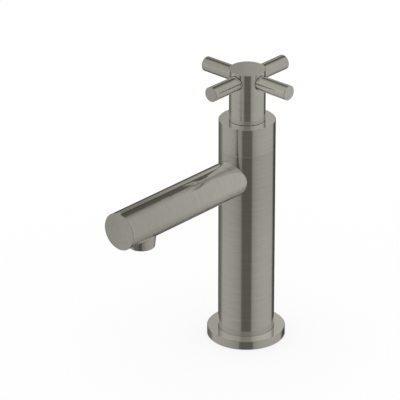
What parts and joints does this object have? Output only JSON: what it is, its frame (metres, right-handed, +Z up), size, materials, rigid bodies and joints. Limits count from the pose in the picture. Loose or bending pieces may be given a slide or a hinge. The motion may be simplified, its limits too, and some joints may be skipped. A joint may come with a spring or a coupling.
{
  "type": "cross handle tap",
  "caption": "Deck-mounted basin tap with an upright round column, a straight tubular spout and a cross handle that turns a ceramic disc valve.",
  "frame": {"origin": "centre of the base flange's underside, on the column's axis, at the deck surface", "axes": "+Z up along the column, the spout points along -Y, +X to the right when the tap is looked at from the spout's end"},
  "size_m": [0.0686, 0.1523, 0.185],
  "materials": {
    "brushed_nickel": "finely brushed nickel plating on brass, satin",
    "machined_brass": "machined, unplated",
    "seal_rubber": "smooth black",
    "white_plastic": "moulded white acetal",
    "white_ceramic": "lapped white ceramic",
    "spring_steel": "bright stainless"
  },
  "bodies": {
    "tap_body": {"base_flange": "brushed_nickel", "deck_gasket": "seal_rubber", "foot_plug": "machined_brass", "column_tube": "brushed_nickel", "valve_seat": "machined_brass", "column_collar": "machined_brass", "cover_ring": "seal_rubber", "cover_sleeve": "brushed_nickel", "guide_bush": "white_plastic", "spout_tube": "brushed_nickel", "spout_end_cap": "brushed_nickel", "outlet_nozzle": "brushed_nickel", "aerator_housing": "white_plastic", "aerator_washer": "seal_rubber", "aerator_flow_disc": "white_plastic", "aerator_grille": "white_plastic", "valve_housing": "machined_brass", "valve_flange_ring": "seal_rubber", "valve_seat_seal": "seal_rubber", "fixed_disc": "white_ceramic"},
    "handle": {"moving_disc": "white_ceramic", "spindle": "machined_brass", "thrust_washer": "white_plastic", "spindle_rings": "seal_rubber", "spindle_clip": "spring_steel", "handle_hub": "brushed_nickel", "spline_insert": "machined_brass", "grub_screw": "spring_steel", "arm_front": "brushed_nickel", "arm_right": "brushed_nickel", "arm_back": "brushed_nickel", "arm_left": "brushed_nickel"}
  },
  "joints": [
    {"name": "handle_turn", "type": "hinge", "parent": "tap_body", "child": "handle", "pos_m": [0, 0, 0.151], "axis": [0, 0, 1], "range_deg": [0, 90]}
  ]
}
